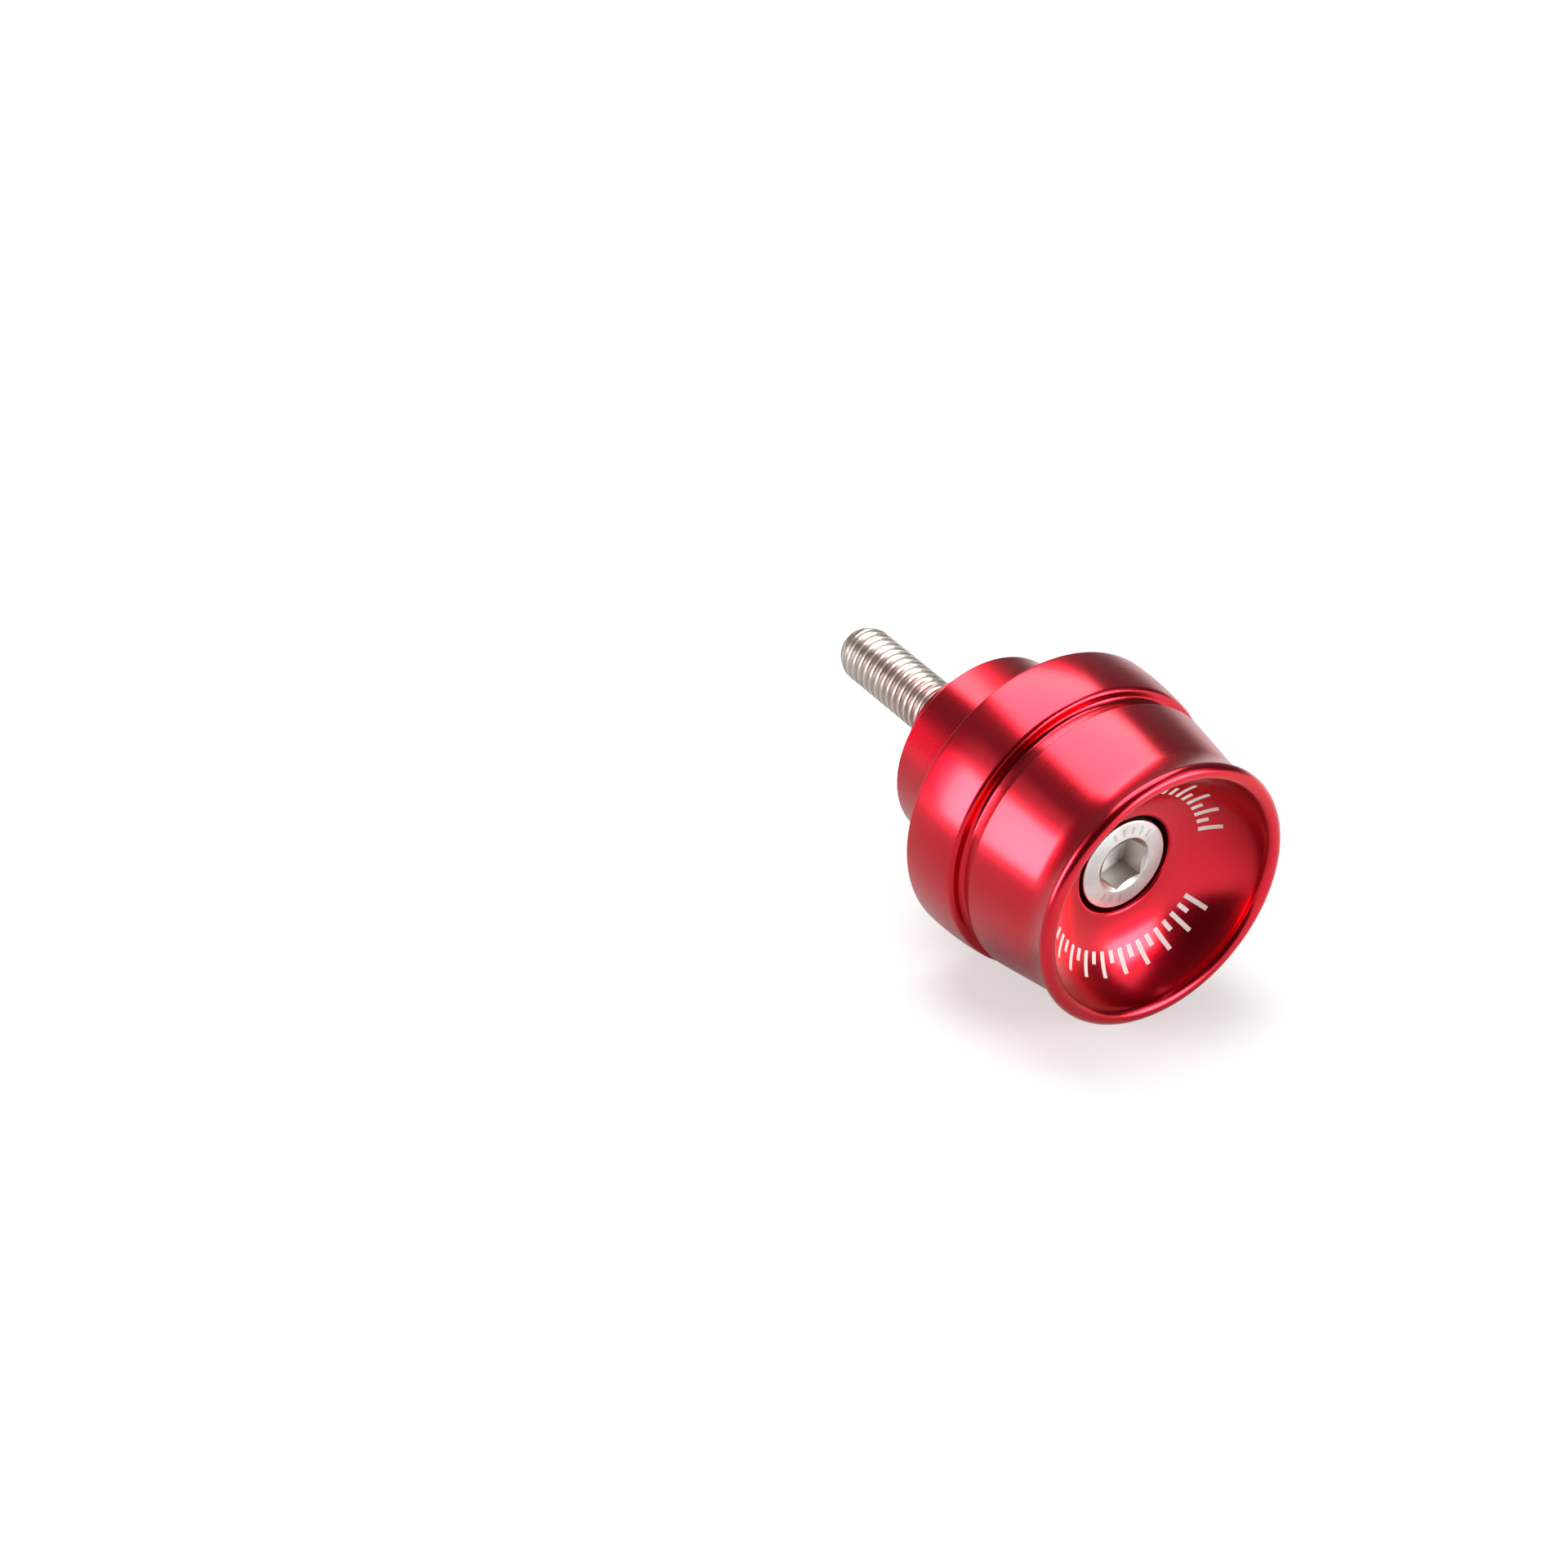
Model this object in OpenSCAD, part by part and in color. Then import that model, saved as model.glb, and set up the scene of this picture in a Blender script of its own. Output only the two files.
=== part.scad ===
// Bar end weight for a motorbike handlebar: one turned and anodised body with a flared cup, held by a
// socket head screw that runs through it into the bar.
// The axis lies along X and +X points out of the cup. The origin is the centre of the face that butts
// against the end of the handlebar.

/* [Boss and spigot] */
// Diameter of the boss that butts against the handlebar
boss_d = 20.6; // [18:0.1:22.2]
// Length of the boss, from the bar seat to the back of the ring
boss_l = 9.9; // [6:0.1:14]
// Edge break at the bar seat
seat_chamfer = 0.3; // [0.1:0.05:0.6]
// Diameter of the spigot that enters the bore of the handlebar
spigot_d = 13; // [11:0.1:15]
// Length of the spigot
spigot_l = 3.8; // [2:0.1:8]
// Chamfer at the end of the spigot
spigot_chamfer = 0.4; // [0.1:0.05:0.8]

/* [Ring] */
// Largest diameter of the ring, at its back edge
ring_d = 32; // [31.2:0.1:36]
// Diameter of the ring at its front shoulder
ring_front_d = 31.1; // [30.8:0.1:31.9]
// Width of the ring along the axis
ring_l = 6.8; // [4:0.1:10]
// Radius of the crown along the side of the ring
ring_crown_r = 33; // [15:1:80]
// Rounding of the back edge of the ring
ring_back_round = 0.25; // [0.1:0.05:0.5]
// Rounding of the front shoulder of the ring
ring_front_round = 0.5; // [0.2:0.05:0.8]

/* [Groove] */
// Width of the polished groove, from the ring to the edge of the barrel
groove_l = 2.15; // [1.8:0.05:3]
// Depth of the groove below the edge of the barrel
groove_depth = 0.75; // [0.4:0.05:1.5]
// Radius of the two hollow corners of the groove
groove_round = 0.55; // [0.2:0.05:0.7]
// How far each wall of the groove leans out
groove_lean = 0.1; // [0:0.02:0.3]

/* [Barrel and rim] */
// Diameter of the barrel at its sharp back edge
barrel_d = 30.15; // [29.6:0.05:30.6]
// Length from the back edge of the barrel to the front of the rim
barrel_l = 11.35; // [10:0.05:14]
// Slope of the barrel's side, in degrees
barrel_taper = 9.1; // [7:0.1:10]
// Rounding of the back edge of the barrel
barrel_round = 0.12; // [0.05:0.01:0.2]
// Diameter across the rounded rim
rim_d = 28.8; // [28.4:0.1:29.6]
// Radius of the full round on the rim
rim_round = 0.83; // [0.6:0.01:1]
// Radius of the hollow neck between the barrel and the rim
neck_r = 6; // [4:0.1:7]

/* [Cup] */
// Depth of the cup, from the front of the rim to the mouth of the counterbore
cup_depth = 6.4; // [5.5:0.1:7.5]
// Radius of the cup's curved wall
cup_r = 8.5; // [7:0.1:14]
// Rounding of the mouth of the counterbore
mouth_round = 0.35; // [0.1:0.05:0.5]

/* [Screw] */
// Nominal diameter of the screw's thread
screw_d = 6; // [5:0.5:6.5]
// Length of the screw below its head
screw_l = 39; // [35:0.5:60]
// Diameter of the screw's head
head_d = 9.8; // [9:0.1:10.2]
// Height of the screw's head
head_h = 6; // [5:0.1:7]
// Rounding of the front edge of the head
head_round = 0.15; // [0.1:0.05:0.6]
// Width of the hexagon socket across its flats
socket_af = 5; // [4:0.5:5.5]
// Depth of the hexagon socket
socket_depth = 3; // [2:0.1:3.5]
// Diameter of the chamfer at the mouth of the socket
socket_mouth_d = 6.3; // [5.9:0.05:6.8]
// Turn of the socket about the axis, in degrees
socket_turn = 50; // [0:1:59]
// Depth of the chamfer at the end of the thread, measured on the radius
tip_chamfer = 0.8; // [0.3:0.1:1.2]
// Length of the chamfer at the end of the thread
tip_l = 1.6; // [0.5:0.1:2]
// Length of the thread, from the tip of the screw
thread_l = 24; // [18:1:30]
// Distance from one turn of the thread to the next
thread_pitch = 1; // [0.75:0.05:1.25]

/* [Clearances] */
// Gap round the head in the counterbore
head_gap = 0.5; // [0.3:0.05:0.8]
// Gap round the thread in the bore of the body
bore_gap = 0.3; // [0.1:0.05:0.6]
// Depth of the head's face below the mouth of the counterbore
head_recess = 0.15; // [0:0.05:1]

/* [Hidden] */
ANODISED_RED = [0.78, 0.06, 0.14];
STAINLESS = [0.78, 0.77, 0.76];
// Steps in one small rounding, and in one long curve
ROUND_STEPS = 8;
CURVE_STEPS = 24;
// Cutting tools run past the faces that they cut by this much
PAST = 1;
// Slope of the chamfer at the mouth of the socket, and of the shallow cone in its floor
MOUTH_SLOPE = 30;
FLOOR_SLOPE = 8;
// Flat round the cone in the socket's floor, inside the flats
FLOOR_LEDGE = 0.2;
// Depth of the thread in pitches, and the lengths of its crest, of a flank and of its root along the axis
THREAD_DEPTH = 5 / 8 * cos(30);
CREST = 1 / 8;
FLANK = 5 / 16;
ROOT = 1 / 4;
// The round of the rim stands out from the line of the barrel's side by at least this much
RIM_FLARE_MIN = 0.3;
$fn = 96;

// Places along the axis, from the bar seat
ring_back_z = boss_l;
ring_front_z = ring_back_z + ring_l;
barrel_back_z = ring_front_z + groove_l;
front_z = barrel_back_z + barrel_l;
mouth_z = front_z - cup_depth;
head_face_z = mouth_z - head_recess;
head_seat_z = head_face_z - head_h;

tip_z = head_seat_z - screw_l;
thread_from_z = tip_z + tip_l;
thread_turns = floor((thread_l - tip_l) / thread_pitch);

// Radii that follow from the screw
mouth_r = head_d / 2 + head_gap;
bore_r = screw_d / 2 + bore_gap;

// Centre of the full round on the rim
rim_centre = [rim_d / 2 - rim_round, front_z - rim_round];

function unit(v) = v / norm(v);
function direction(v) = atan2(v[1], v[0]);
function full_turn(angle) = (angle + 360) % 360;

// Points on a circle, from one angle to another
function arc(centre, radius, from, to, steps) =
    [for (i = [0:steps]) let (a = from + (to - from) * i / steps) centre + radius * [cos(a), sin(a)]];

// Rounding of the corner at b, on the way from a to c
function rounded(a, b, c, radius) =
    let (
        u = unit(a - b),
        v = unit(c - b),
        half = acos(u * v) / 2,
        centre = b + unit(u + v) * radius / sin(half),
        from = direction(b + u * radius / tan(half) - centre),
        sweep = direction(b + v * radius / tan(half) - centre) - from,
        to = from + (sweep > 180 ? sweep - 360 : sweep < -180 ? sweep + 360 : sweep)
    )
    arc(centre, radius, from, to, ROUND_STEPS);

// Curve of a given radius from a to b, which bends to the left of the way, or to the right if the radius
// is negative
function bend(a, b, radius, steps) =
    let (
        half_chord = norm(b - a) / 2,
        along = unit(b - a),
        left = [-along[1], along[0]],
        centre = (a + b) / 2 + left * sign(radius) * sqrt(radius * radius - half_chord * half_chord),
        from = direction(a - centre),
        sweep = 2 * asin(half_chord / radius)
    )
    arc(centre, abs(radius), from, from + sweep, steps);

// The side of the barrel runs from its back edge towards the rim, steep enough to leave the rim standing out
barrel_edge = [barrel_d / 2, barrel_back_z];
edge_to_rim = rim_centre - barrel_edge;
side_taper = max(
    barrel_taper, direction(edge_to_rim) - 90 + asin((RIM_FLARE_MIN - rim_round) / norm(edge_to_rim)));
barrel_way = [-sin(side_taper), cos(side_taper)];
barrel_out = [cos(side_taper), sin(side_taper)];

// The neck is tangent to the side of the barrel and to the round of the rim
neck_from_rim = barrel_edge + neck_r * barrel_out - rim_centre;
neck_step = -neck_from_rim * barrel_way - sqrt(
    pow(neck_from_rim * barrel_way, 2) - neck_from_rim * neck_from_rim + pow(neck_r + rim_round, 2));
neck_centre = barrel_edge + neck_r * barrel_out + neck_step * barrel_way;

// Corners of the groove: the shoulder of the ring, then the two corners of its floor
groove_floor_r = min(barrel_d, ring_front_d) / 2 - groove_depth;
shoulder = [ring_front_d / 2, ring_front_z];
groove_back = [groove_floor_r, ring_front_z + groove_lean];
groove_front = [groove_floor_r, barrel_back_z - groove_lean];

// Roundings share the two walls of the groove, and the barrel's edge takes its part of the front wall first
WALL_SHARE = 0.48;
EDGE_REACH = 1.5;
back_wall = shoulder[0] - groove_floor_r;
front_wall = barrel_edge[0] - groove_floor_r;
shoulder_round = min(ring_front_round, WALL_SHARE * back_wall);
floor_round = min(groove_round, WALL_SHARE * back_wall, front_wall - EDGE_REACH * barrel_round);
// The crown of the ring stops short of its corners by this many times their radius
CORNER_REACH = 2;

// Outline of the body's half section, as radius and place along the axis
function body_outline() =
    let (
        ring_edge = [ring_d / 2, ring_back_z],
        ring_side = bend(ring_edge, shoulder, ring_crown_r, CURVE_STEPS),
        crown = [for (point = ring_side)
            if (norm(point - ring_edge) > CORNER_REACH * ring_back_round
                && norm(point - shoulder) > CORNER_REACH * shoulder_round)
            point],
        neck_from = 180 + side_taper,
        neck_to = full_turn(direction(rim_centre - neck_centre)),
        cup_edge = [rim_centre[0] - rim_round, rim_centre[1]],
        cup_end = [mouth_r + mouth_round, mouth_z]
    )
    concat(
        [[bore_r, -spigot_l],
            [spigot_d / 2 - spigot_chamfer, -spigot_l],
            [spigot_d / 2, spigot_chamfer - spigot_l],
            [spigot_d / 2, 0],
            [boss_d / 2 - seat_chamfer, 0],
            [boss_d / 2, seat_chamfer],
            [boss_d / 2, ring_back_z]],
        rounded([boss_d / 2, ring_back_z], ring_edge, crown[0], ring_back_round),
        crown,
        rounded(crown[len(crown) - 1], shoulder, groove_back, shoulder_round),
        rounded(shoulder, groove_back, groove_front, floor_round),
        rounded(groove_back, groove_front, barrel_edge, floor_round),
        rounded(groove_front, barrel_edge, barrel_edge + barrel_way, barrel_round),
        arc(neck_centre, neck_r, neck_from, neck_to, CURVE_STEPS),
        arc(rim_centre, rim_round, direction(neck_centre - rim_centre), 180, CURVE_STEPS),
        bend(cup_edge, cup_end, -cup_r, CURVE_STEPS),
        arc(cup_end - [0, mouth_round], mouth_round, 90, 180, ROUND_STEPS),
        [[mouth_r, head_seat_z], [bore_r, head_seat_z]]
    );

// Section of one turn of the thread, from a place along the axis
function thread_turn(z) =
    let (
        crest_r = screw_d / 2,
        root_r = crest_r - THREAD_DEPTH * thread_pitch
    )
    [[crest_r, z + CREST * thread_pitch],
        [root_r, z + (CREST + FLANK) * thread_pitch],
        [root_r, z + (CREST + FLANK + ROOT) * thread_pitch],
        [crest_r, z + thread_pitch]];

// Half section of the screw, before its socket is cut. The turns of the thread are closed rings
function screw_outline() =
    concat(
        [[0, tip_z],
            [screw_d / 2 - tip_chamfer, tip_z],
            [screw_d / 2, thread_from_z]],
        [for (turn = [0:thread_turns - 1]) each thread_turn(thread_from_z + turn * thread_pitch)],
        [[screw_d / 2, head_seat_z],
            [head_d / 2, head_seat_z]],
        arc([head_d / 2 - head_round, head_face_z - head_round], head_round, 0, 90, ROUND_STEPS),
        [[0, head_face_z]]
    );

// Turns what is drawn about Z so that it lies about X
module along_x() {
    rotate([0, 90, 0]) children();
}

module weight_body() {
    color(ANODISED_RED)
        along_x()
        rotate_extrude()
        polygon(body_outline());
}

// Hexagon socket with a shallow cone in its floor and a chamfered mouth
module socket() {
    socket_r = socket_af / 2 / cos(30);
    floor_r = socket_af / 2 - FLOOR_LEDGE;
    mouth_in = socket_mouth_d / 2 * tan(MOUTH_SLOPE);
    mouth_out = mouth_in + PAST;
    translate([0, 0, head_face_z - socket_depth]) {
        rotate([0, 0, socket_turn])
            cylinder(r = socket_r, h = socket_depth + PAST, $fn = 6);
        translate([0, 0, -floor_r * tan(FLOOR_SLOPE)])
            cylinder(r1 = 0, r2 = floor_r, h = floor_r * tan(FLOOR_SLOPE));
    }
    translate([0, 0, head_face_z - mouth_in])
        cylinder(r1 = 0, r2 = mouth_out / tan(MOUTH_SLOPE), h = mouth_out);
}

module socket_screw() {
    color(STAINLESS)
        along_x()
        difference() {
            rotate_extrude() polygon(screw_outline());
            socket();
        }
}

weight_body();
socket_screw();
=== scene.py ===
"""Bar end weight: a red anodised turned body and the stainless socket head screw that runs through it.

The axis lies along X, and +X points out of the cup. Outlines are lists of (x, r) points in millimetres, and
angles about the axis run from +Y towards +Z.
"""

import math

import bpy
from mathutils import Matrix, Vector


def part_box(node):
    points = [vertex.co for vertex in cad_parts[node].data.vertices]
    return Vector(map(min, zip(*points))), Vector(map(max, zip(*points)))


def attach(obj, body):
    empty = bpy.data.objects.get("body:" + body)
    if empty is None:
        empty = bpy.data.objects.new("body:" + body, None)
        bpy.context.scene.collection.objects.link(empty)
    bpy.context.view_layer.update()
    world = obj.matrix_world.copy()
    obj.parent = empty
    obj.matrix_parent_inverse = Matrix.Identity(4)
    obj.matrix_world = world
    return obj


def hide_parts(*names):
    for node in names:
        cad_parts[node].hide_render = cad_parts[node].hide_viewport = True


MM = 0.001

# Boss and spigot
BOSS_R = 10.3
BOSS_L = 9.9
SEAT_CHAMFER = 0.3
SPIGOT_R = 6.5
SPIGOT_CHAMFER = 0.4
EDGE_BREAK = 0.08
INNER_CORNER = 0.12

# Ring and groove
RING_FRONT_R = 15.55
RING_L = 6.8
RING_CROWN_R = 33
RING_BACK_ROUND = 0.25
RING_FRONT_ROUND = 0.5
GROOVE_L = 2.15
GROOVE_DEPTH = 0.75
GROOVE_ROUND = 0.55
GROOVE_LEAN = 0.1

# Barrel, rim and cup
BARREL_R = 15.075
BARREL_TAPER = math.radians(9.1)
BARREL_ROUND = 0.12
RIM_R = 14.4
RIM_ROUND = 0.83
NECK_R = 6
CUP_DEPTH = 6.4
CUP_R = 8.5
MOUTH_ROUND = 0.35
HEAD_GAP = 0.5
BORE_R = 3.3
BODY_STEPS = 288

# Head of the screw and its socket
HEAD_R = 4.9
HEAD_H = 6
HEAD_ROUND = 0.2
HEAD_STEPS = 192
NECK_ROUND = 0.2
KNURL_ROWS = 32
KNURL_DEPTH = 0.1
SOCKET_AF = 5
SOCKET_CORNER_R = SOCKET_AF / 2 / math.cos(math.pi / 6)
SOCKET_DEPTH = 3
SOCKET_CORNER = math.radians(20)
SOCKET_MOUTH_R = 3.02
MOUTH_SLOPE = math.radians(30)
FLOOR_SLOPE = math.radians(8)
FLOOR_LEDGE = 0.2
SOCKET_STEPS = 96

# Shank and thread
SHANK_R = 3
THREAD_L = 24
THREAD_R = 2.95
THREAD_DEPTH = 0.42
PITCH = 1
THREAD_ANGLE = math.radians(60)
CREST = 0.38
CREST_ROUND = 0.09
ROOT_ROUND = 0.05
THREAD_STEPS = 72
TIP_R = 2.15
TIP_L = 1.7
TIP_BOW = 4

# How far one solid reaches past another that it cuts or joins
PAST = 0.2
# Vertices closer than this are one
MERGE_WITHIN = MM * 1e-3

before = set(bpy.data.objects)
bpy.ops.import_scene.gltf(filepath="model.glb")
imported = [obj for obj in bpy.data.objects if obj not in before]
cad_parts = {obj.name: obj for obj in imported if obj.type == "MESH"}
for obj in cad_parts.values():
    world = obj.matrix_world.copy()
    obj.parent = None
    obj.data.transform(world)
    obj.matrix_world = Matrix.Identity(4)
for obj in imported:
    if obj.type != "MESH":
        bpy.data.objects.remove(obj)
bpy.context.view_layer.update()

# Places along the axis, in millimetres, from the frame
body_low, body_high = (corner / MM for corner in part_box("weight_body"))
screw_low, screw_high = (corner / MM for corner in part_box("socket_screw"))
RING_R = round(body_high.z, 1)
FRONT_X = body_high.x
SPIGOT_X = body_low.x
RING_FRONT_X = BOSS_L + RING_L
BARREL_X = RING_FRONT_X + GROOVE_L
MOUTH_X = FRONT_X - CUP_DEPTH
MOUTH_R = HEAD_R + HEAD_GAP
HEAD_X = screw_high.x
SEAT_X = HEAD_X - HEAD_H
TIP_X = screw_low.x
THREAD_END_X = TIP_X + THREAD_L


# Outlines

def arc(centre, radius, start, end, steps):
    """Points on a circle from one angle to another, where angle 0 points along +X."""
    angles = (start + (end - start) * i / steps for i in range(steps + 1))
    return [Vector((centre[0] + radius * math.cos(a), centre[1] + radius * math.sin(a))) for a in angles]


def angle_of(v):
    return math.atan2(v.y, v.x)


def rounded(before, corner, after, radius, steps=8):
    """Rounding of a corner, on the way from the point before it to the point after it."""
    before, corner, after = Vector(before), Vector(corner), Vector(after)
    u = (before - corner).normalized()
    v = (after - corner).normalized()
    half = u.angle(v) / 2
    centre = corner + (u + v).normalized() * radius / math.sin(half)
    start = angle_of(corner + u * radius / math.tan(half) - centre)
    end = angle_of(corner + v * radius / math.tan(half) - centre)
    sweep = (end - start + math.pi) % math.tau - math.pi
    return arc(centre, radius, start, start + sweep, steps)


def bow(a, b, radius, steps):
    """Arc of a given radius from a to b. The middle of a positive radius lies to the right of the way."""
    a, b = Vector(a), Vector(b)
    half_chord = (b - a).length / 2
    along = (b - a).normalized()
    right = Vector((along.y, -along.x))
    centre = (a + b) / 2 + right * math.copysign(math.sqrt(radius**2 - half_chord**2), radius)
    start = angle_of(a - centre)
    sweep = -2 * math.asin(half_chord / radius)
    return arc(centre, abs(radius), start, start + sweep, steps)


def spigot_and_boss():
    corners = [
        ((SPIGOT_X, BORE_R), EDGE_BREAK),
        ((SPIGOT_X, SPIGOT_R - SPIGOT_CHAMFER), EDGE_BREAK),
        ((SPIGOT_X + SPIGOT_CHAMFER, SPIGOT_R), EDGE_BREAK),
        ((0, SPIGOT_R), INNER_CORNER),
        ((0, BOSS_R - SEAT_CHAMFER), EDGE_BREAK),
        ((SEAT_CHAMFER, BOSS_R), EDGE_BREAK),
        ((BOSS_L, BOSS_R), INNER_CORNER),
        ((BOSS_L, RING_R), RING_BACK_ROUND),
    ]
    points = [Vector(corners[0][0])]
    for (before, _), (corner, radius), (after, _) in zip(corners, corners[1:], corners[2:]):
        points += rounded(before, corner, after, radius, 4)
    return points


def ring_and_groove(barrel_way):
    ring_edge = (BOSS_L, RING_R)
    shoulder = (RING_FRONT_X, RING_FRONT_R)
    floor_r = BARREL_R - GROOVE_DEPTH
    groove_back = (RING_FRONT_X + GROOVE_LEAN, floor_r)
    groove_front = (BARREL_X - GROOVE_LEAN, floor_r)
    barrel_edge = Vector((BARREL_X, BARREL_R))
    crown = bow(ring_edge, shoulder, RING_CROWN_R, 24)[2:-2]
    return [
        *rounded((BOSS_L, BOSS_R), ring_edge, crown[0], RING_BACK_ROUND),
        *crown,
        *rounded(crown[-1], shoulder, groove_back, RING_FRONT_ROUND),
        *rounded(shoulder, groove_back, groove_front, GROOVE_ROUND),
        *rounded(groove_back, groove_front, barrel_edge, GROOVE_ROUND),
        *rounded(groove_front, barrel_edge, barrel_edge + barrel_way, BARREL_ROUND, 5),
    ]


def body_outline():
    barrel_edge = Vector((BARREL_X, BARREL_R))
    barrel_way = Vector((math.cos(BARREL_TAPER), -math.sin(BARREL_TAPER)))
    barrel_out = Vector((math.sin(BARREL_TAPER), math.cos(BARREL_TAPER)))
    rim = Vector((FRONT_X - RIM_ROUND, RIM_R - RIM_ROUND))
    # The neck is tangent to the side of the barrel and to the round of the rim
    start = barrel_edge + NECK_R * barrel_out - rim
    reach = NECK_R + RIM_ROUND
    step = -start.dot(barrel_way) - math.sqrt(start.dot(barrel_way) ** 2 - start.dot(start) + reach**2)
    neck = barrel_edge + NECK_R * barrel_out + step * barrel_way
    cup_edge = (rim.x, rim.y - RIM_ROUND)
    cup_end = (MOUTH_X, MOUTH_R + MOUTH_ROUND)
    return [
        *spigot_and_boss(),
        *ring_and_groove(barrel_way),
        *arc(neck, NECK_R, -math.pi / 2 - BARREL_TAPER, angle_of(rim - neck), 24),
        *arc(rim, RIM_ROUND, angle_of(neck - rim), -math.pi / 2, 24)[1:],
        *bow(cup_edge, cup_end, -CUP_R, 32)[1:],
        *arc((cup_end[0] - MOUTH_ROUND, cup_end[1]), MOUTH_ROUND, 0, -math.pi / 2, 8)[1:],
        Vector((SEAT_X, MOUTH_R)),
        Vector((SEAT_X, BORE_R)),
        Vector((SPIGOT_X, BORE_R)),
    ]


def knurl_x(row):
    """Place along X of a row of the knurl. The first row is the back of the head and the last its front."""
    low_x = SEAT_X + NECK_ROUND
    high_x = HEAD_X - HEAD_ROUND
    return low_x + (high_x - low_x) * row / KNURL_ROWS


def head_outline():
    """Head and plain shank of the screw, from the end of the shank to the middle of the head's face."""
    return [
        Vector((THREAD_END_X, 0)),
        Vector((THREAD_END_X, SHANK_R)),
        *rounded((THREAD_END_X, SHANK_R), (SEAT_X, SHANK_R), (SEAT_X, HEAD_R), NECK_ROUND, 4),
        Vector((SEAT_X, HEAD_R - NECK_ROUND)),
        *(Vector((knurl_x(row), HEAD_R)) for row in range(KNURL_ROWS)),
        *arc((HEAD_X - HEAD_ROUND, HEAD_R - HEAD_ROUND), HEAD_ROUND, math.pi / 2, 0, 6),
        Vector((HEAD_X, 0)),
    ]


def thread_outline():
    """One turn of the thread, from the middle of a crest to the middle of the next."""
    flank = THREAD_DEPTH / math.tan(THREAD_ANGLE)
    root_r = THREAD_R - THREAD_DEPTH
    half_crest = CREST * PITCH / 2
    corners = [
        ((0, THREAD_R), CREST_ROUND),
        ((half_crest, THREAD_R), CREST_ROUND),
        ((half_crest + flank, root_r), ROOT_ROUND),
        ((PITCH - half_crest - flank, root_r), ROOT_ROUND),
        ((PITCH - half_crest, THREAD_R), CREST_ROUND),
        ((PITCH, THREAD_R), CREST_ROUND),
    ]
    points = [Vector(corners[0][0])]
    for (before, _), (corner, radius), (after, _) in zip(corners, corners[1:], corners[2:]):
        points += rounded(before, corner, after, radius, 4)
    return [*points, Vector(corners[-1][0])]


# Modelling

def start_mesh(name):
    bpy.ops.object.select_all(action="DESELECT")
    bpy.ops.mesh.primitive_plane_add(size=MM)
    made = bpy.context.object
    made.name = name
    made.data.name = name
    bpy.ops.object.mode_set(mode="EDIT")
    bpy.ops.mesh.merge(type="CENTER")
    return made


def draw_line(points):
    """Extrudes the one vertex of the mesh in edit mode from point to point, in the plane of X and Z."""
    x, r = points[0]
    bpy.ops.transform.translate(value=(x * MM, 0, r * MM))
    for a, b in zip(points, points[1:]):
        move = ((b[0] - a[0]) * MM, 0, (b[1] - a[1]) * MM)
        bpy.ops.mesh.extrude_region_move(TRANSFORM_OT_translate={"value": move})


def merge_all():
    bpy.ops.mesh.select_all(action="SELECT")
    bpy.ops.mesh.remove_doubles(threshold=MERGE_WITHIN)


def close_up():
    """Merges what coincides, turns the faces outwards and leaves edit mode."""
    merge_all()
    bpy.ops.mesh.normals_make_consistent(inside=False)
    bpy.ops.object.mode_set(mode="OBJECT")


def lathe(name, outline, steps):
    """Turns an outline once round the X axis into a closed mesh, whose first edge lies towards +Z."""
    made = start_mesh(name)
    draw_line(outline)
    merge_all()
    bpy.ops.mesh.spin(steps=steps, angle=math.tau, center=(0, 0, 0), axis=(1, 0, 0))
    close_up()
    return made


def pick(made):
    bpy.ops.object.select_all(action="DESELECT")
    bpy.context.view_layer.objects.active = made
    made.select_set(True)


def use_modifier(made, name, kind, **settings):
    pick(made)
    modifier = made.modifiers.new(name, kind)
    for key, value in settings.items():
        setattr(modifier, key, value)
    bpy.ops.object.modifier_apply(modifier=name)


def combine(made, other, operation):
    """Cuts, joins or intersects a mesh with another one, which is then gone."""
    use_modifier(made, "combine", "BOOLEAN", operation=operation, object=other, solver="EXACT")
    bpy.data.objects.remove(other)


def smooth(made, angle):
    pick(made)
    bpy.ops.object.shade_smooth_by_angle(angle=math.radians(angle))


def threaded_rod(start_x, end_x):
    """Helical thread along X, cut flat at both ends."""
    turns = math.ceil((end_x - start_x) / PITCH) + 3
    rod = start_mesh("thread")
    draw_line([(start_x - 2 * PITCH + x, r) for x, r in thread_outline()])
    bpy.ops.object.mode_set(mode="OBJECT")
    use_modifier(
        rod, "helix", "SCREW",
        axis="X", angle=math.tau, screw_offset=PITCH * MM, iterations=turns,
        steps=THREAD_STEPS, render_steps=THREAD_STEPS, use_merge_vertices=True, merge_threshold=MERGE_WITHIN,
    )
    bpy.ops.object.mode_set(mode="EDIT")
    for x, side in ((start_x, -1), (end_x, 1)):
        merge_all()
        bpy.ops.mesh.bisect(
            plane_co=(x * MM, 0, 0), plane_no=(side, 0, 0),
            use_fill=True, clear_outer=True, threshold=MERGE_WITHIN)
    close_up()
    return rod


def thread_with_tip():
    """The thread from the rounded tip of the screw to just inside its plain shank."""
    rod = threaded_rod(TIP_X, THREAD_END_X + PAST)
    outer_r = THREAD_R + PAST
    tip_end = (TIP_X + TIP_L, THREAD_R)
    envelope = lathe("envelope", [
        Vector((TIP_X - PAST / 20, 0)),
        *bow((TIP_X - PAST / 20, TIP_R), tip_end, TIP_BOW, 10),
        Vector((TIP_X + TIP_L + PAST, outer_r)),
        Vector((THREAD_END_X + 1, outer_r)),
        Vector((THREAD_END_X + 1, 0)),
    ], SOCKET_STEPS)
    combine(rod, envelope, "INTERSECT")
    return rod


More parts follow.
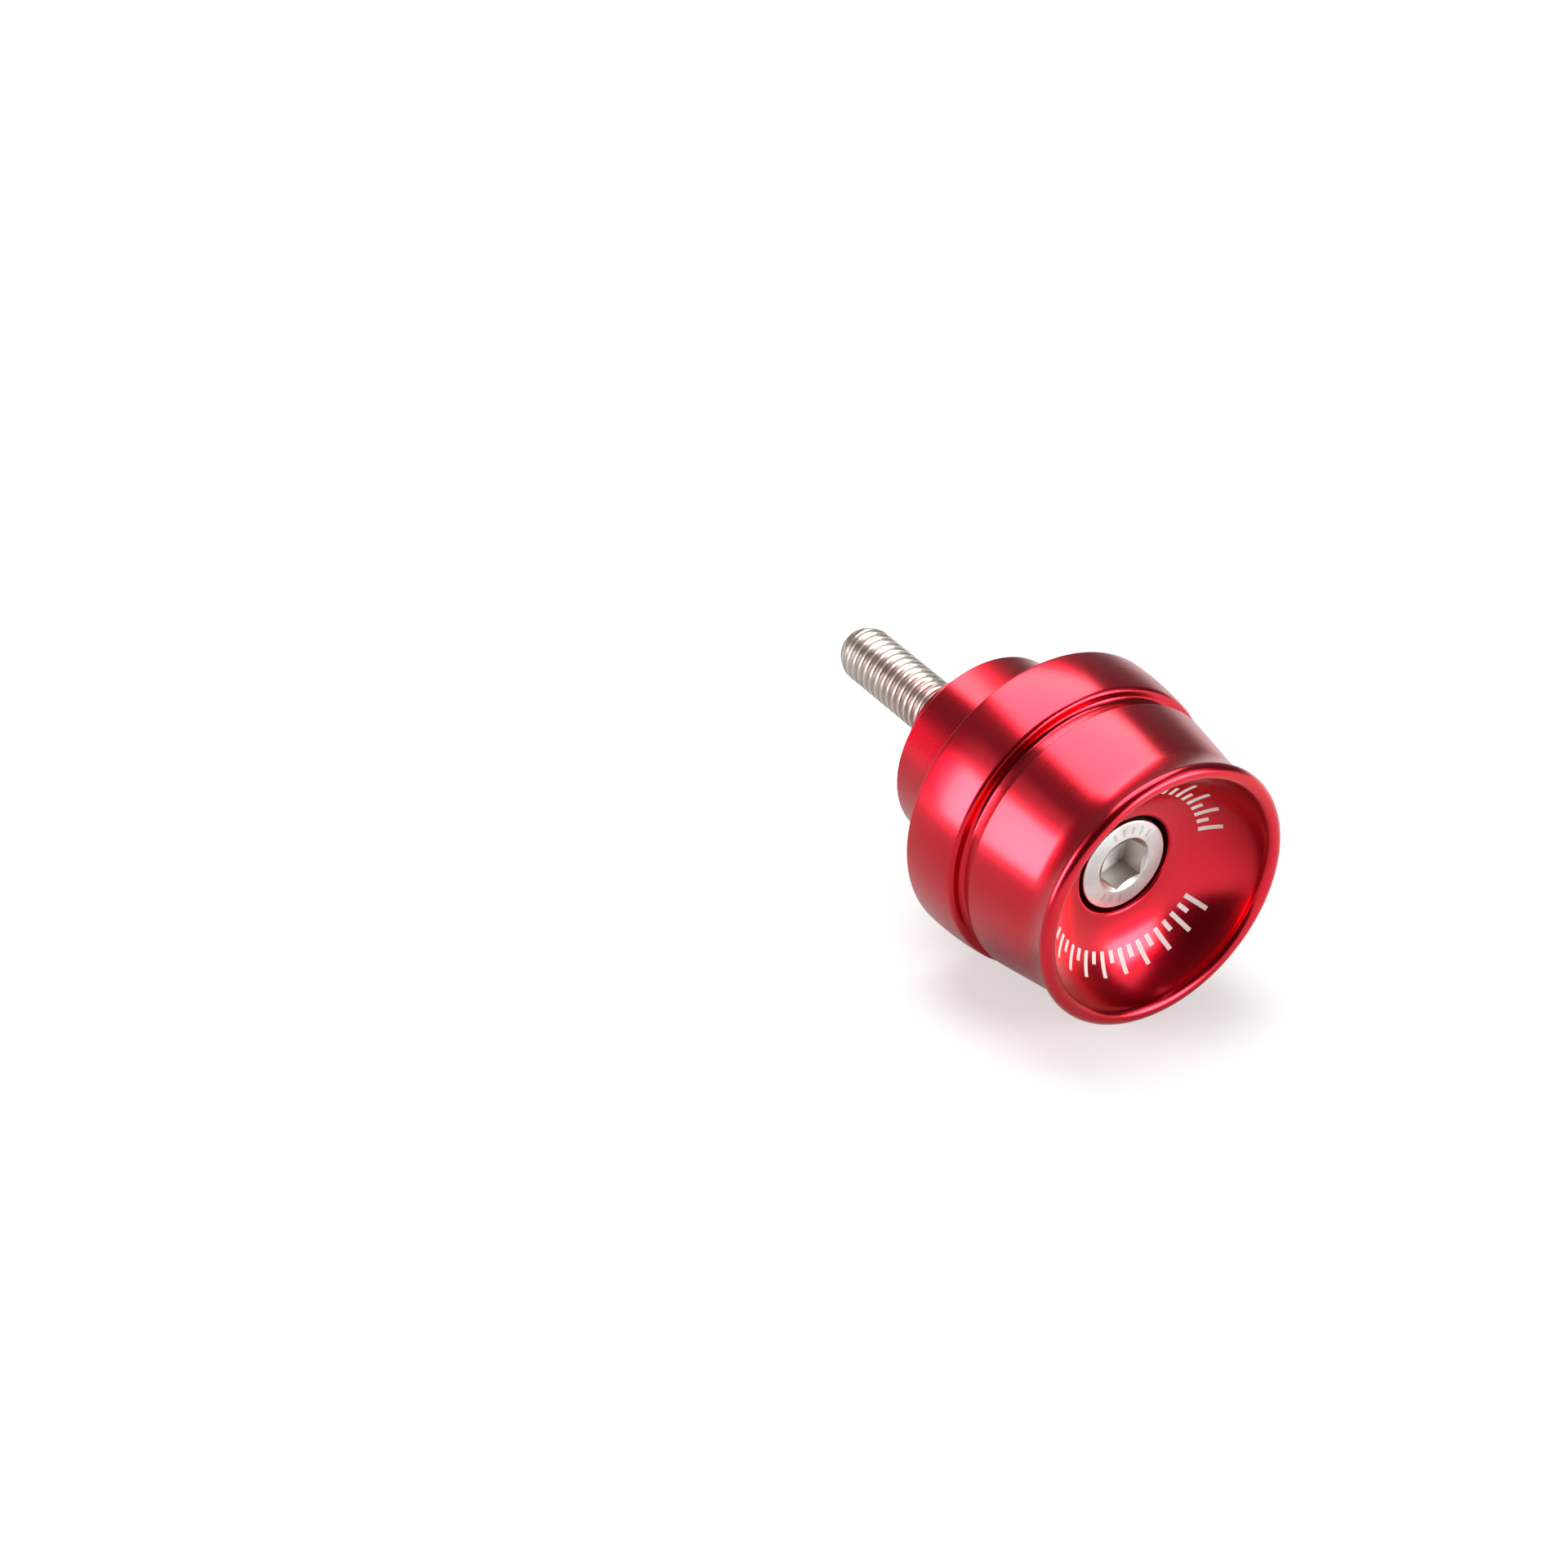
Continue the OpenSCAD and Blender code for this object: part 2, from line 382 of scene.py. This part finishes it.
def cut_socket(screw):
    """Hexagon socket with a shallow cone in its floor and a chamfered mouth."""
    floor_x = HEAD_X - SOCKET_DEPTH
    hexagon = lathe("hexagon", [
        (floor_x, 0), (floor_x, SOCKET_CORNER_R), (HEAD_X + 1, SOCKET_CORNER_R), (HEAD_X + 1, 0)], 6)
    hexagon.rotation_euler.x = SOCKET_CORNER - math.pi / 2
    pick(hexagon)
    bpy.ops.object.transform_apply(location=False, rotation=True, scale=False)
    combine(screw, hexagon, "DIFFERENCE")
    cone_r = SOCKET_AF / 2 - FLOOR_LEDGE
    cone = lathe("cone", [
        (floor_x - cone_r * math.tan(FLOOR_SLOPE), 0), (floor_x, cone_r),
        (floor_x + PAST, cone_r), (floor_x + PAST, 0)], SOCKET_STEPS)
    combine(screw, cone, "DIFFERENCE")
    mouth_x = HEAD_X - SOCKET_MOUTH_R * math.tan(MOUTH_SLOPE)
    mouth = lathe("mouth", [
        (mouth_x, 0), (2 * HEAD_X - mouth_x, 2 * SOCKET_MOUTH_R), (2 * HEAD_X - mouth_x, 0)], SOCKET_STEPS)
    combine(screw, mouth, "DIFFERENCE")


def press_knurl(screw):
    """Pulls every other vertex of the head's side in, row by row, which leaves the diamonds of the knurl."""
    pick(screw)
    bpy.ops.object.mode_set(mode="EDIT")
    bpy.ops.mesh.select_mode(type="VERT")
    bpy.ops.mesh.select_all(action="DESELECT")
    bpy.ops.object.mode_set(mode="OBJECT")
    row_l = knurl_x(1) - knurl_x(0)
    for vertex in screw.data.vertices:
        x, y, z = vertex.co / MM
        row = round((x - knurl_x(0)) / row_l)
        step = round(math.atan2(z, y) / math.tau * HEAD_STEPS)
        on_side = 0 < row < KNURL_ROWS and math.hypot(y, z) > HEAD_R - EDGE_BREAK
        vertex.select = on_side and (row + step) % 2 == 0
    bpy.ops.object.mode_set(mode="EDIT")
    share = 1 - KNURL_DEPTH / HEAD_R
    bpy.ops.transform.resize(value=(1, share, share), center_override=(0, 0, 0))
    bpy.ops.object.mode_set(mode="OBJECT")


def make_screw():
    screw = lathe("socket_screw_finished", head_outline(), HEAD_STEPS)
    cut_socket(screw)
    combine(screw, thread_with_tip(), "UNION")
    press_knurl(screw)
    smooth(screw, 25)
    return screw


def make_body():
    body = lathe("weight_body_finished", body_outline(), BODY_STEPS)
    smooth(body, 25)
    return body


# Building shader nodes

def add(tree, kind, inputs=(), **settings):
    """Adds a node, sets its properties, and gives each named input a value or a link."""
    made = tree.nodes.new(kind)
    for key, value in settings.items():
        setattr(made, key, value)
    for key, value in dict(inputs).items():
        if isinstance(value, bpy.types.NodeSocket):
            tree.links.new(value, made.inputs[key])
        else:
            made.inputs[key].default_value = value
    return made


def maths(tree, operation, *values):
    return add(tree, "ShaderNodeMath", dict(enumerate(values)), operation=operation).outputs[0]


def both(tree, *masks):
    """Product of masks or factors."""
    product = masks[0]
    for mask in masks[1:]:
        product = maths(tree, "MULTIPLY", product, mask)
    return product


def opposite(tree, mask):
    return maths(tree, "SUBTRACT", 1.0, mask)


def ramp(tree, value, low, high, from_value=0.0, to_value=1.0):
    """Carries a value from one range to another, with soft ends."""
    inputs = {"Value": value, "From Min": low, "From Max": high, "To Min": from_value, "To Max": to_value}
    return add(tree, "ShaderNodeMapRange", inputs, interpolation_type="SMOOTHSTEP").outputs["Result"]


def above(tree, value, limit, softness):
    """Mask of what lies above a limit in millimetres."""
    return ramp(tree, value, (limit - softness) * MM, (limit + softness) * MM)


def between(tree, value, low, high, softness):
    """Mask of what lies between two limits in millimetres."""
    return both(tree, above(tree, value, low, softness), opposite(tree, above(tree, value, high, softness)))


def mixed(tree, factor, first, second):
    """Mixes two colours."""
    made = add(tree, "ShaderNodeMix", data_type="RGBA")
    for name, value in (("Factor_Float", factor), ("A_Color", first), ("B_Color", second)):
        socket = next(item for item in made.inputs if item.identifier == name)
        if isinstance(value, bpy.types.NodeSocket):
            tree.links.new(value, socket)
        else:
            socket.default_value = value
    return next(item for item in made.outputs if item.identifier == "Result_Color")


def blended(tree, factor, first, second):
    """Mixes two numbers."""
    return maths(tree, "ADD", both(tree, opposite(tree, factor), first), both(tree, factor, second))


def cylindrical(tree, place):
    """Place along X, distance from X, and angle about X."""
    axes = add(tree, "ShaderNodeSeparateXYZ", {"Vector": place}).outputs
    squares = maths(tree, "ADD", both(tree, axes["Y"], axes["Y"]), both(tree, axes["Z"], axes["Z"]))
    return axes["X"], maths(tree, "SQRT", squares), maths(tree, "ARCTAN2", axes["Z"], axes["Y"])


def new_group(name, inputs, outputs):
    tree = bpy.data.node_groups.new(name, "ShaderNodeTree")
    for label, kind in inputs.items():
        tree.interface.new_socket(label, in_out="INPUT", socket_type=kind)
    for label in outputs:
        tree.interface.new_socket(label, in_out="OUTPUT", socket_type="NodeSocketFloat")
    return tree, add(tree, "NodeGroupInput").outputs


def use_group(tree, group, **inputs):
    named = {key.replace("_", " "): value for key, value in inputs.items()}
    return add(tree, "ShaderNodeGroup", named, node_tree=group).outputs


# Effects that the materials share

def make_turned_lines():
    """Fine lines that a tool leaves round the X axis. Each line fades in and out along its way."""
    tree, given = new_group(
        "turned_lines",
        {"Place": "NodeSocketVector", "Fineness": "NodeSocketFloat", "Reach": "NodeSocketFloat"},
        ["Height", "Streaks"])
    x, radius, angle = cylindrical(tree, given["Place"])
    across = add(tree, "ShaderNodeCombineXYZ", {
        "X": both(tree, x, given["Fineness"]),
        "Y": both(tree, radius, given["Fineness"]),
        "Z": both(tree, maths(tree, "COSINE", angle), given["Reach"])}).outputs[0]
    along = both(tree, maths(tree, "SINE", angle), given["Reach"])
    fine = add(tree, "ShaderNodeTexNoise", {
        "Vector": across, "W": along, "Scale": 1.0, "Detail": 2.0, "Roughness": 0.6}, noise_dimensions="4D")
    wide = add(tree, "ShaderNodeTexNoise", {
        "Vector": across, "W": along, "Scale": 0.6, "Detail": 1.0}, noise_dimensions="4D")
    fine_part = both(tree, fine.outputs["Fac"], 0.4)
    add(tree, "NodeGroupOutput", {
        "Height": fine.outputs["Fac"],
        "Streaks": maths(tree, "MULTIPLY_ADD", wide.outputs["Fac"], 0.6, fine_part)})
    return tree


def make_fine_grain():
    """Even grain of a blasted, etched or cast surface."""
    tree, given = new_group(
        "fine_grain", {"Place": "NodeSocketVector", "Fineness": "NodeSocketFloat"}, ["Grain", "Clouds"])
    grain = add(tree, "ShaderNodeTexNoise", {
        "Vector": given["Place"], "Scale": given["Fineness"], "Detail": 3.0, "Roughness": 0.65})
    clouds = add(tree, "ShaderNodeTexNoise", {
        "Vector": given["Place"], "Scale": both(tree, given["Fineness"], 0.12), "Detail": 2.0})
    add(tree, "NodeGroupOutput", {"Grain": grain.outputs["Fac"], "Clouds": clouds.outputs["Fac"]})
    return tree


def make_tick_arc():
    """Row of plain radial ticks along an arc about the X axis. Lengths are in metres."""
    tree, given = new_group("tick_arc", {
        "Place": "NodeSocketVector", "Inner": "NodeSocketFloat", "Outer": "NodeSocketFloat",
        "Start": "NodeSocketFloat", "Spacing": "NodeSocketFloat", "Count": "NodeSocketFloat",
        "Width": "NodeSocketFloat", "From X": "NodeSocketFloat", "Edge": "NodeSocketFloat"}, ["Mask"])
    x, radius, angle = cylindrical(tree, given["Place"])
    spacing = given["Spacing"]
    turned = maths(tree, "SUBTRACT", angle, given["Start"])
    shifted = maths(tree, "MULTIPLY_ADD", spacing, 0.5, turned)
    wrapped = maths(tree, "FLOORED_MODULO", shifted, math.tau)
    index = maths(tree, "FLOOR", maths(tree, "DIVIDE", wrapped, spacing))
    middle = both(tree, maths(tree, "ADD", index, 0.5), spacing)
    across = both(tree, maths(tree, "ABSOLUTE", maths(tree, "SUBTRACT", wrapped, middle)), radius)

    def inside(distance):
        share = maths(tree, "DIVIDE", distance, given["Edge"])
        return maths(tree, "MINIMUM", 1.0, maths(tree, "MAXIMUM", 0.0, share))

    mask = both(
        tree,
        inside(maths(tree, "SUBTRACT", both(tree, given["Width"], 0.5), across)),
        inside(maths(tree, "SUBTRACT", radius, given["Inner"])),
        inside(maths(tree, "SUBTRACT", given["Outer"], radius)),
        maths(tree, "LESS_THAN", index, given["Count"]),
        maths(tree, "GREATER_THAN", x, given["From X"]))
    add(tree, "NodeGroupOutput", {"Mask": mask})
    return tree


def make_specks():
    """A few tiny specks of dust, one in some of the cells that divide the surface."""
    tree, given = new_group("specks", {
        "Place": "NodeSocketVector", "Cells": "NodeSocketFloat", "Size": "NodeSocketFloat",
        "Share": "NodeSocketFloat"}, ["Mask"])
    cells = add(tree, "ShaderNodeTexVoronoi", {"Vector": given["Place"], "Scale": given["Cells"]})
    chosen = add(tree, "ShaderNodeSeparateColor", {"Color": cells.outputs["Color"]}).outputs["Red"]
    add(tree, "NodeGroupOutput", {"Mask": both(
        tree,
        maths(tree, "LESS_THAN", cells.outputs["Distance"], given["Size"]),
        maths(tree, "LESS_THAN", chosen, given["Share"]))})
    return tree


# Finishes

ANODISED_RED = (0.6, 0.001, 0.017, 1)
ANODISED_DEEP = (0.57, 0.001, 0.015, 1)
MARK_PALE = (0.68, 0.62, 0.59, 1)
DUST = (0.75, 0.68, 0.66, 1)
STEEL = (0.74, 0.74, 0.73, 1)
STEEL_WARM = (0.62, 0.57, 0.52, 1)
# Dark warm steel: painted shade, warmed by a painted reflection of the red body, in the roots of the thread;
# also the darker tone of the grain's clouds and of the stamped ticks
STEEL_PAINTED_SHADE_AND_DARK_TONE = (0.3, 0.23, 0.21, 1)
# Painted shade on the walls of the socket
STEEL_WALL_PAINTED_SHADE = (0.5, 0.47, 0.43, 1)
# Painted light on the floor of the socket
STEEL_FLOOR_PAINTED_LIGHT = (0.95, 0.94, 0.93, 1)
# Painted shade on the knurled side of the head
STEEL_KNURL_PAINTED_SHADE = (0.5, 0.46, 0.43, 1)

# Roughness of each finish, and how much the lines and the grain change it
SATIN = 0.27
RIM_SATIN = 0.24
POLISHED = 0.19
MARK_MATT = 0.6
LINE_ROUGHNESS = 0.032
STEEL_SMOOTH = 0.22
SOCKET_FLOOR_SMOOTH = 0.35
GRAIN_ROUGHNESS = 0.2

COAT = 0.52
SOCKET_FLOOR_METAL = 0.4
LINE_RELIEF = 0.0006 * MM
GRAIN_RELIEF = 0.002 * MM
# Cells of the patterns to the metre, and cells of a line's change to one radius of its way round
BODY_LINES = {"Fineness": 8000.0, "Reach": 1.1}
BODY_GRAIN = 9000.0
SCREW_LINES = {"Fineness": 5000.0, "Reach": 2.0}
SCREW_GRAIN = 3200.0
DUST_SPECKS = {"Cells": 420.0, "Size": 0.028, "Share": 0.012}

TICK_W = 0.52 * MM
TICK_EDGE = 0.03 * MM
STAMP_W = 0.26 * MM
STAMP_DARK = 0.3
STAMP_DEPTH = 40.0
# Arcs of ticks: inner and outer radius, angle of the first, angle from one to the next, and count
CUP_TICKS = (
    (9.0, 11.05, 197, 14, 10),
    (9.0, 10.05, 204, 14, 9),
    (8.35, 10.4, 13, 14, 5),
    (8.35, 9.4, 20, 14, 4),
)
HEAD_TICKS = (
    (3.4, 4.3, 48, 16, 5),
    (3.4, 4.3, 235, 17, 3),
)


def new_material(name):
    made = bpy.data.materials.new(name)
    made.use_nodes = True
    made.node_tree.nodes.clear()
    tree = made.node_tree
    return made, tree, add(tree, "ShaderNodeTexCoord").outputs["Object"]


def ticks(tree, group, place, arcs, width, from_x):
    """Mask of all the ticks in a list of arcs."""
    mask = 0.0
    for inner, outer, start, spacing, count in arcs:
        arc_mask = use_group(
            tree, group, Place=place, Inner=inner * MM, Outer=outer * MM, Start=math.radians(start),
            Spacing=math.radians(spacing), Count=count, Width=width, From_X=from_x * MM, Edge=TICK_EDGE)
        mask = maths(tree, "MAXIMUM", mask, arc_mask["Mask"])
    return mask


def anodised_red(turned_lines, fine_grain, tick_arc, specks):
    made, tree, place = new_material("anodised_red")
    x, radius, _ = cylindrical(tree, place)
    lines = use_group(tree, turned_lines, Place=place, **BODY_LINES)
    grain = use_group(tree, fine_grain, Place=place, Fineness=BODY_GRAIN)
    marks = ticks(tree, tick_arc, place, CUP_TICKS, TICK_W, MOUTH_X)
    dust = use_group(tree, specks, Place=place, **DUST_SPECKS)["Mask"]
    pale = maths(tree, "MAXIMUM", marks, dust)

    outside = above(tree, radius, RIM_R - 2.2 * RIM_ROUND, 0.3)
    groove = between(tree, x, RING_FRONT_X - 0.1, BARREL_X + 0.05, 0.08)
    rim = both(tree, outside, above(tree, x, FRONT_X - 1.5 * RIM_ROUND, 0.3))

    red = mixed(tree, ramp(tree, lines["Streaks"], 0.3, 0.7), ANODISED_DEEP, ANODISED_RED)
    satin = maths(tree, "MULTIPLY_ADD", lines["Streaks"], LINE_ROUGHNESS, SATIN - LINE_ROUGHNESS / 2)
    roughness = blended(tree, both(tree, outside, groove), blended(tree, rim, satin, RIM_SATIN), POLISHED)
    brushed = opposite(tree, maths(tree, "MAXIMUM", groove, rim))
    height = maths(tree, "ADD", both(tree, lines["Height"], brushed), both(tree, grain["Grain"], 0.5))
    bump = add(tree, "ShaderNodeBump", {"Strength": 0.18, "Distance": LINE_RELIEF, "Height": height})
    shader = add(tree, "ShaderNodeBsdfPrincipled", {
        "Base Color": mixed(tree, pale, red, mixed(tree, dust, MARK_PALE, DUST)),
        "Metallic": opposite(tree, pale),
        "Roughness": blended(tree, pale, roughness, MARK_MATT),
        "Coat Weight": both(tree, opposite(tree, pale), COAT),
        "Coat Roughness": 0.2, "Coat IOR": 1.5,
        "Anisotropic": 0.5, "Anisotropic Rotation": 0.25,
        "Tangent": add(tree, "ShaderNodeTangent", direction_type="RADIAL", axis="X").outputs[0],
        "Normal": bump.outputs[0],
    })
    add(tree, "ShaderNodeOutputMaterial", {"Surface": shader.outputs[0]})
    return made


def stainless(turned_lines, fine_grain, tick_arc):
    made, tree, place = new_material("stainless")
    x, radius, _ = cylindrical(tree, place)
    lines = use_group(tree, turned_lines, Place=place, **SCREW_LINES)
    grain = use_group(tree, fine_grain, Place=place, Fineness=SCREW_GRAIN)

    floor_x = HEAD_X - SOCKET_DEPTH
    in_socket = both(
        tree, opposite(tree, above(tree, radius, SOCKET_CORNER_R + 0.05, 0.02)),
        above(tree, x, floor_x - 1, 0.1), opposite(tree, above(tree, x, HEAD_X - 0.05, 0.02)))
    socket_floor = both(tree, in_socket, opposite(tree, above(tree, x, floor_x + 0.06, 0.03)))
    knurl = both(
        tree, above(tree, radius, HEAD_R - 0.16, 0.02), opposite(tree, above(tree, x, HEAD_X - 0.1, 0.04)))
    threaded = opposite(tree, above(tree, x, THREAD_END_X, 0.1))
    root = both(tree, threaded, opposite(tree, above(tree, radius, THREAD_R - 0.32, 0.16)))
    stamped = ticks(tree, tick_arc, place, HEAD_TICKS, STAMP_W, HEAD_X - 0.02)

    colour = mixed(tree, threaded, STEEL, STEEL_WARM)
    # The roots of the thread are painted darker: painted shade, warmed by a painted reflection of the red
    # body
    colour = mixed(tree, root, colour, STEEL_PAINTED_SHADE_AND_DARK_TONE)
    # The walls of the socket are painted darker: painted shade in the recess
    colour = mixed(tree, in_socket, colour, STEEL_WALL_PAINTED_SHADE)
    # The floor of the socket is painted pale: painted light in the recess
    colour = mixed(tree, socket_floor, colour, STEEL_FLOOR_PAINTED_LIGHT)
    # The knurled side of the head, down in the counterbore, is painted darker: painted shade
    colour = mixed(tree, knurl, colour, STEEL_KNURL_PAINTED_SHADE)
    colour = mixed(tree, both(tree, stamped, STAMP_DARK), colour, STEEL_PAINTED_SHADE_AND_DARK_TONE)
    colour = mixed(tree, ramp(tree, grain["Clouds"], 0.4, 0.65, 0.0, 0.3), colour, STEEL_PAINTED_SHADE_AND_DARK_TONE)
    smooth_part = blended(tree, socket_floor, STEEL_SMOOTH, SOCKET_FLOOR_SMOOTH)
    roughness = maths(tree, "MULTIPLY_ADD", grain["Grain"], GRAIN_ROUGHNESS, smooth_part)
    height = maths(tree, "ADD", both(tree, grain["Grain"], 2.5), both(tree, lines["Height"], threaded, 0.6))
    height = maths(tree, "SUBTRACT", height, both(tree, stamped, STAMP_DEPTH))
    bump = add(tree, "ShaderNodeBump", {"Strength": 0.7, "Distance": GRAIN_RELIEF, "Height": height})
    shader = add(tree, "ShaderNodeBsdfPrincipled", {
        "Base Color": colour,
        "Metallic": opposite(tree, both(tree, socket_floor, 1 - SOCKET_FLOOR_METAL)),
        "Roughness": roughness,
        "Normal": bump.outputs[0],
    })
    add(tree, "ShaderNodeOutputMaterial", {"Surface": shader.outputs[0]})
    return made


# Studio

LENS = 91.29
SENSOR_W = 36
CAMERA_AT = Vector((258.53, -209.89, 219.83)) * MM
CAMERA_WAY = Vector((-0.6714, 0.4833, -0.5618))
CAMERA_ROLL = math.radians(3.31)
LIT_AT = Vector((12, 0, 0)) * MM
FLOOR_SIZE = 6
FLOOR_GREY = 0.42
FLOOR_GLOW = 0.5
# The floor that shows in metal is paler to the right, with painted light that is this strong at the far end
# of its fade
FLOOR_PAINTED_LIGHT_IN_METAL = 0.5
FLOOR_PALE_AZIMUTH = 120
FLOOR_PALE_FROM = -10 * MM
FLOOR_PALE_TO = 70 * MM
# The room is dark behind the camera and paler ahead on the left
ROOM_DARK = 0.05
ROOM_PALE = 0.2
ROOM_AZIMUTH = -40
ROOM_FADE = (-0.7, 0.5)
# Sine of the height up to which metal sees the white backdrop
BACKDROP_TOP = 0.05
# Power of a square metre of lamp for a radiance of one
WATTS_PER_RADIANCE = 4
# Soft boxes: azimuth and elevation in degrees, width and height in metres, and radiance. Azimuth 0 is
# straight behind the weight as the camera sees it, and 90 is to the right
BOX_DISTANCE = 0.6
SOFT_BOXES = {
    "top_box": (-8, 69, 0.52, 0.52, 5.5),
    "left_box": (-104, 10, 0.26, 0.44, 10),
    "left_glow": (-104, 26, 0.36, 0.42, 0.5),
    "right_box": (119, 6, 0.36, 0.42, 10),
    "right_glow": (104, 34, 0.3, 0.3, 0.9),
}


def floor_plane():
    """Upward direction of the floor that the ring and the rim lie on, and its distance from the axis."""
    outline = body_outline()
    ring = max(outline, key=lambda point: point.y)
    rim = max((point for point in outline if point.x > BARREL_X + NECK_R), key=lambda point: point.y)
    tilt = math.atan2(ring.y - rim.y, rim.x - ring.x)
    drop = max(point.x * math.sin(tilt) + point.y * math.cos(tilt) for point in outline)
    return Vector((-math.sin(tilt), 0, math.cos(tilt))), drop * MM


def direction(up, azimuth, elevation):
    ahead = (CAMERA_WAY - CAMERA_WAY.dot(up) * up).normalized()
    right = ahead.cross(up)
    a, e = math.radians(azimuth), math.radians(elevation)
    return (ahead * math.cos(a) + right * math.sin(a)) * math.cos(e) + up * math.sin(e)


def along(tree, vector, way):
    """Length of a vector along a fixed direction."""
    return add(tree, "ShaderNodeVectorMath", {0: vector, 1: way}, operation="DOT_PRODUCT").outputs["Value"]


def seen_by(tree):
    """Mask of what the camera sees directly, and of what shows in metal or through glass."""
    path = add(tree, "ShaderNodeLightPath").outputs
    return path["Is Camera Ray"], maths(tree, "MAXIMUM", path["Is Glossy Ray"], path["Is Transmission Ray"])


def make_floor(up, drop):
    bpy.ops.object.select_all(action="DESELECT")
    bpy.ops.mesh.primitive_plane_add(
        size=FLOOR_SIZE, location=-up * drop, rotation=up.to_track_quat("Z", "Y").to_euler())
    made = bpy.context.object
    made.name = "floor"
    material, tree, _ = new_material("floor_white")
    to_camera, in_metal = seen_by(tree)
    place = add(tree, "ShaderNodeNewGeometry").outputs["Position"]
    # Painted light on the floor, seen only in metal, growing towards the right
    to_pale = along(tree, place, direction(up, FLOOR_PALE_AZIMUTH, 0))
    painted_floor_light = ramp(tree, to_pale, FLOOR_PALE_FROM, FLOOR_PALE_TO, 0.0, FLOOR_PAINTED_LIGHT_IN_METAL)
    strength = maths(tree, "ADD", both(tree, to_camera, FLOOR_GLOW), both(tree, in_metal, painted_floor_light))
    paper = add(tree, "ShaderNodeBsdfDiffuse", {"Color": (FLOOR_GREY, FLOOR_GREY, FLOOR_GREY, 1)})
    glow = add(tree, "ShaderNodeEmission", {"Color": (1, 1, 1, 1), "Strength": strength})
    surface = add(tree, "ShaderNodeAddShader", {0: paper.outputs[0], 1: glow.outputs[0]})
    add(tree, "ShaderNodeOutputMaterial", {"Surface": surface.outputs[0]})
    made.data.materials.append(material)


def make_camera():
    data = bpy.data.cameras.new("camera")
    data.lens = LENS
    data.sensor_width = SENSOR_W
    data.clip_start = 0.01
    camera = bpy.data.objects.new("camera", data)
    bpy.context.collection.objects.link(camera)
    turn = CAMERA_WAY.to_track_quat("-Z", "Y").to_matrix()
    turn = turn @ Matrix.Rotation(CAMERA_ROLL, 3, "Z")
    camera.matrix_world = Matrix.Translation(CAMERA_AT) @ turn.to_4x4()
    bpy.context.scene.camera = camera


def add_soft_box(name, up, azimuth, elevation, width, height, radiance):
    way = direction(up, azimuth, elevation)
    data = bpy.data.lights.new(name, "AREA")
    data.shape = "RECTANGLE"
    data.size = width
    data.size_y = height
    data.energy = radiance * width * height * WATTS_PER_RADIANCE
    light = bpy.data.objects.new(name, data)
    bpy.context.collection.objects.link(light)
    side = up.cross(way).normalized()
    top = way.cross(side)
    light.matrix_world = Matrix((side, top, way)).transposed().to_4x4()
    light.location = LIT_AT + way * BOX_DISTANCE
    light.visible_camera = False


def make_light(up):
    world = bpy.data.worlds.new("studio")
    bpy.context.scene.world = world
    world.use_nodes = True
    tree = world.node_tree
    tree.nodes.clear()
    # The backdrop is white to the camera, and to metal in a low band above the floor
    to_camera, in_metal = seen_by(tree)
    way = add(tree, "ShaderNodeTexCoord").outputs["Generated"]
    height = along(tree, way, up)
    band = both(tree, ramp(tree, height, BACKDROP_TOP, 0.0), in_metal)
    seen = maths(tree, "MAXIMUM", to_camera, band)
    to_pale = along(tree, way, direction(up, ROOM_AZIMUTH, 0))
    room = ramp(tree, to_pale, *ROOM_FADE, ROOM_DARK, ROOM_PALE)
    add(tree, "ShaderNodeOutputWorld", {"Surface": add(tree, "ShaderNodeBackground", {
        "Color": (1, 1, 1, 1), "Strength": blended(tree, seen, room, 1.0)}).outputs[0]})
    for name, values in SOFT_BOXES.items():
        add_soft_box(name, up, *values)


turned_lines = make_turned_lines()
fine_grain = make_fine_grain()
tick_arc = make_tick_arc()
body_finish = anodised_red(turned_lines, fine_grain, tick_arc, make_specks())
screw_finish = stainless(turned_lines, fine_grain, tick_arc)
pieces = (
    (make_body(), "weight_body", "anodised_red", body_finish),
    (make_screw(), "socket_screw", "stainless", screw_finish),
)
for piece, node, slot, material in pieces:
    piece.data.materials.clear()
    piece.data.materials.append(material)
    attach(piece, "root")
    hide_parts(node)
floor_up, floor_drop = floor_plane()
make_floor(floor_up, floor_drop)
make_light(floor_up)
make_camera()
bpy.context.scene.view_settings.view_transform = "Standard"
